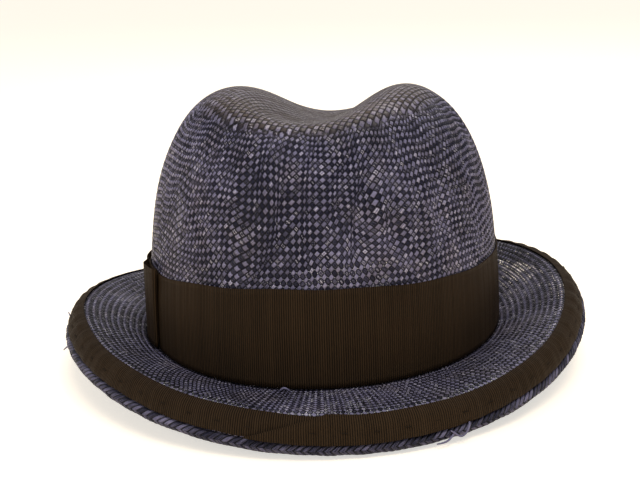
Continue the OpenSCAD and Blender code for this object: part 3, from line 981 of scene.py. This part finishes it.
def foot_over_brim(t, out):
    """The lowest height at which something that stands out clears the brim."""
    rise = np.maximum(brim_rise(t), 0)
    return BAND_FOOT + (out + FIT_GAP) * sin(rise) / cos(rise)


def bow_part(name, along, off, top, thickness, node, flare=0.0):
    """A folded strip of ribbon whose path goes round the crown and stands off the hatband."""
    rows = 13
    share = np.linspace(0, 1, rows)[:, None]
    foot = foot_over_brim(along, BOW_T)[None, :]
    z = foot + (top - foot) * share - band_dip(along, 1.0)[None, :] * share
    stand = off[None, :] + flare * share**2 * smooth(OVER_BAND, OVER_BAND + BOW_T, off)[None, :]
    stand = stand + 0.12 * ripple(along[None, :], z, 41)
    points = band_point(np.broadcast_to(along[None, :], z.shape), z, stand)
    run = run_along(points[rows // 2])
    cloth = np.stack([np.broadcast_to(run[None, :], z.shape), z], -1)
    backwards = along[0] > along[len(along) // 3]
    piece = cloth_mesh(name, points, cloth, False, flip=backwards)
    thicken(piece, thickness, 0)
    finish_piece(piece, bpy.data.materials[RIBBON_CLOTH], "brown_grosgrain", node)


class FEDORA_OT_bow(bpy.types.Operator):
    """Fold the flat bow on the hatband, with its knot"""

    bl_idname = "fedora.bow"
    bl_label = "Bow"

    def execute(self, context):
        half = math.degrees(BOW_L / 2 / CROWN_B)
        knot = math.degrees(KNOT_W / 2 / CROWN_B)
        top = BAND_TOP + BOW_RISE

        def knot_off(t):
            """How far the knot stands off the crown."""
            return OVER_BAND + BOW_T * 0.35 + KNOT_SWELL * np.cos(np.radians((t - BOW_SIDE) / knot * 80))

        # Each loop goes out along the band, turns back at its fold and comes in over itself
        loops = ((1, "bow_front_loop", 0.72, 0), (-1, "bow_back_loop", 0.45, LOOP_DROP))
        for side, name, fullness, drop in loops:
            fold = np.linspace(-90, 90, 11)
            out = np.linspace(knot * 0.5, half - 1.0, 18)
            high = OVER_BAND + BOW_T * fullness
            low = OVER_BAND + LOOP_STAND
            turn = half - 1.0 + 1.3 * np.cos(np.radians(fold))
            bulge = LOOP_BULGE * np.sin(np.linspace(0, math.pi, len(out)))
            pull = (high - low - 0.7) * smooth(0.45, 0.0, np.linspace(1, 0, len(out)))
            back = high - pull + bulge[::-1]
            along = np.concatenate([out, turn[1:-1], out[::-1]])
            round_fold = (low + high) / 2 + (high - low) / 2 * np.sin(np.radians(fold[1:-1]))
            off = np.concatenate([np.full(len(out), low), round_fold, back])
            bow_part(name + "_cloth", BOW_SIDE + side * along, off, top - drop, LOOP_WALL, name, 1.0)
        across = np.linspace(BOW_SIDE - knot, BOW_SIDE + knot, 19)
        bow_part("bow_knot_cloth", across, knot_off(across), top - KNOT_DROP, KNOT_WALL, "bow_knot")

        # Two tacks low and two high, at the knot's sides
        spots = [(low, side) for low in (True, False) for side in (-1, 1)]
        for count, (low, side) in enumerate(spots):
            t = BOW_SIDE + side * knot * 0.6 + np.array([-0.9, -0.3, 0.3, 0.9])
            z = BAND_FOOT + 5 + 0 * t if low else top - 5.5 - band_dip(t, 1.0)
            off = knot_off(t) + np.array([0.1, 0.42, 0.42, 0.1])
            tack = thin_strand(band_point(t, z, off), THREAD_D / 2, f"bow_tack_{count}")
            nodes = ["bow_tacks"] if count == 0 else []
            finish_piece(tack, bpy.data.materials[BROWN_THREAD], "brown_thread", *nodes)
        return {"FINISHED"}


class FEDORA_OT_straw_ends(bpy.types.Operator):
    """Let a few loose straw ends stand out at the edge"""

    bl_idname = "fedora.straw_ends"
    bl_label = "Loose straw ends"

    def execute(self, context):
        def near(t, out, up):
            """A point at angle t, out and up from the middle of the rolled edge."""
            t = np.array(float(t))
            centre = roll_centre(t)
            return place(t, (centre[0] + out, centre[1] + up, np.array(0.0)))

        ends = {
            "straw_loop": [near(303, 0.5, 2.6), near(302.5, 3.2, 3.2), near(301.5, 4.6, 0.2),
                           near(300.5, 3.4, -2.0), near(299.2, 2.9, 0.8), near(298.6, 2.5, 1.8)],
            "straw_end_front": [near(299.5, 2.3, 0.4), near(298.4, 3.3, -1.2), near(297.0, 3.6, -2.2),
                                near(295.6, 3.2, -2.0)],
            "straw_end_left": [near(206, 2.0, 0.8), near(205.4, 3.5, -0.2), near(205.0, 4.4, -1.7)],
            "straw_end_side": [near(188, 1.8, 1.2), near(187.2, 3.2, 2.0), near(186.4, 3.9, 3.1)],
        }
        material = bpy.data.materials[LOOSE_STRAW]
        for name, points in ends.items():
            finish_piece(thin_strand(points, STRAW_END_R, name), material, "navy_straw")
        t = np.array([263.5, 264.2, 265.2, 266.0])
        nub = place(t, straw_point(t, np.array([3.0, 3.6, 3.4, 2.8])), np.array([0.5, 1.6, 1.5, 0.4]))
        finish_piece(thin_strand(nub, NUB_R, "straw_nub"), material, "navy_straw")
        return {"FINISHED"}


class FEDORA_OT_trimmings(bpy.types.Operator):
    """Give the lining, thread and wire their finishes"""

    bl_idname = "fedora.trimmings"
    bl_label = "Lining, thread and wire"

    def execute(self, context):
        small_bow = lining_finish("brown grosgrain, small pieces", ribbon_look())
        lining = lining_finish("tan grosgrain lining", dict(ribbon_look(), **LINING_COLOURS))
        brown = bpy.data.materials[BROWN_THREAD]
        navy = thread_finish("navy thread", THREAD_NAVY)
        steel = steel_finish("spring wire")
        finishes = {
            "sweatband": lining, "sweatband_bow": small_bow,
            "sweatband_bow_knot": small_bow, "edge_ribbon_stitches": brown,
            "sweatband_stitches": brown, "headline_stitches": navy,
            "brim_wire": steel, "wire_joiner": steel,
        }
        for node, material in finishes.items():
            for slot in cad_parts[node].material_slots:
                slot.material = material
        return {"FINISHED"}


class FEDORA_OT_stage(bpy.types.Operator):
    """Set the floor, the soft light and the camera"""

    bl_idname = "fedora.stage"
    bl_label = "Stage"

    def execute(self, context):
        stage = context.scene.fedora_stage
        self.lay_floor(stage)
        self.light_world(context.scene)
        self.hang_lamps(context.scene, stage.key)
        self.set_camera(context.scene, stage)
        context.scene.view_settings.view_transform = "Standard"
        return {"FINISHED"}

    def lay_floor(self, stage):
        """A pale floor that cameras and clear or shiny things see brighter than it lights the hat."""
        bpy.ops.object.select_all(action="DESELECT")
        bpy.ops.mesh.primitive_plane_add(size=FLOOR_SIZE, location=(0, 0, 0))
        floor = bpy.context.active_object
        floor.name = "studio_floor"
        f = Finish("pale floor", Roughness=0.9, Specular_IOR_Level=0.1)
        cloud = f.noise(f.spot(), 1.5, 2.0)
        wide = linear(*[v * 255 for v in stage.floor])
        f.wear(Base_Color=f.mix(cloud * 0.06, wide, linear(*FLOOR_SHADE)))
        camera, glossy, clear = [
            f.node("LightPath", None, None, f"Is {ray} Ray") for ray in ("Camera", "Glossy", "Transmission")
        ]
        seen = (camera + glossy + clear).maths("MINIMUM", 1.0)
        plain = Wire(f, f.shader.outputs[0])
        glow = f.node("Emission", None, {"Color": (1.0, 0.99, 0.96, 1), "Strength": FLOOR_GLOW})
        both = f.node("AddShader", None, {0: plain, 1: glow})
        f.end(f.node("MixShader", None, {0: seen, 1: plain, 2: both}), "Material Output")
        floor.data.materials.append(f.material)

    def light_world(self, scene):
        """A soft, even sky that the camera sees as white."""
        scene.world = bpy.data.worlds.new("studio")
        scene.world.use_nodes = True
        sky = Nodes(scene.world.node_tree)
        seen = sky.node("LightPath", None, None, "Is Camera Ray")
        lit = sky.node("Background", None, {"Color": (1.0, 0.985, 0.96, 1), "Strength": SKY_LIGHT})
        shown = sky.node("Background", None, {"Color": (1, 1, 1, 1)})
        sky.end(sky.node("MixShader", None, {0: seen, 1: lit, 2: shown}), "World Output")

    def hang_lamps(self, scene, key):
        """Three large soft lamps: name, place, size, power and tint."""
        lamps = (
            ("key", (0.22, -0.7, 1.15), 0.6, key, (1.0, 0.975, 0.94)),
            ("fill", (-1.0, -0.6, 0.5), 0.7, key * FILL_SHARE, (1.0, 0.97, 0.93)),
            ("back", (0.1, 0.85, 1.0), 0.8, key * BACK_SHARE, (1.0, 0.95, 0.88)),
        )
        for name, spot, size, power, tint in lamps:
            lamp = bpy.data.lights.new(name, "AREA")
            lamp.size, lamp.energy, lamp.color = size, power, tint
            holder = bpy.data.objects.new(name, lamp)
            scene.collection.objects.link(holder)
            holder.location = spot
            aim = Vector(LAMP_AIM) - Vector(spot)
            holder.rotation_euler = aim.to_track_quat("-Z", "Y").to_euler()

    def set_camera(self, scene, stage):
        """A camera in front of the hat, turned a little to one side and tipped a little."""
        yaw, tilt, roll = math.radians(CAMERA_YAW), stage.height, math.radians(CAMERA_ROLL)
        turn = Matrix.Rotation(-yaw, 3, "Z")
        look_at = Vector(LOOK_AT)
        spot = look_at + stage.distance * Vector((0, -math.cos(tilt), math.sin(tilt)))
        look_at, spot = turn @ look_at, turn @ spot
        back = (spot - look_at).normalized()
        right = Vector((0, 0, 1)).cross(back).normalized()
        up = back.cross(right)
        right, up = (math.cos(roll) * right - math.sin(roll) * up,
                     math.sin(roll) * right + math.cos(roll) * up)
        camera = bpy.data.cameras.new("camera")
        camera.lens, camera.sensor_width = stage.lens, 36
        camera.clip_start = 0.01
        holder = bpy.data.objects.new("camera", camera)
        scene.collection.objects.link(holder)
        holder.matrix_world = Matrix.Translation(spot) @ Matrix((right, up, back)).transposed().to_4x4()
        scene.camera = holder


OPERATORS = (
    FEDORA_OT_stage, FEDORA_OT_crown, FEDORA_OT_brim, FEDORA_OT_edge_roll, FEDORA_OT_edge_ribbon,
    FEDORA_OT_hatband, FEDORA_OT_bow, FEDORA_OT_straw_ends, FEDORA_OT_trimmings,
)


GROUPS = {
    "fedora_straw": FEDORA_PG_straw, "fedora_ribbon": FEDORA_PG_ribbon, "fedora_stage": FEDORA_PG_stage,
}


class FEDORA_PT_panel(bpy.types.Panel):
    """Lists the settings and the steps that make the hat."""

    bl_label = "Fedora"
    bl_space_type = "VIEW_3D"
    bl_region_type = "UI"
    bl_category = "Fedora"

    def draw(self, context):
        for group in GROUPS:
            settings = getattr(context.scene, group)
            for key in settings.bl_rna.properties.keys():
                if key not in ("rna_type", "name"):
                    self.layout.prop(settings, key)
        for operator in OPERATORS:
            self.layout.operator(operator.bl_idname)


def register():
    for made in (*GROUPS.values(), *OPERATORS, FEDORA_PT_panel):
        bpy.utils.register_class(made)
    for key, group in GROUPS.items():
        setattr(bpy.types.Scene, key, bpy.props.PointerProperty(type=group))


def unregister():
    for key in GROUPS:
        delattr(bpy.types.Scene, key)
    for made in (FEDORA_PT_panel, *OPERATORS[::-1], *GROUPS.values()):
        bpy.utils.unregister_class(made)


def main():
    register()
    ribbon_finish(RIBBON_CLOTH, ribbon_look())
    braid_finish(LOOSE_STRAW, straw_look())
    thread_finish(BROWN_THREAD, THREAD_BROWN)
    for operator in OPERATORS:
        getattr(bpy.ops.fedora, operator.bl_idname.split(".")[1])()


if __name__ == "__main__":
    main()
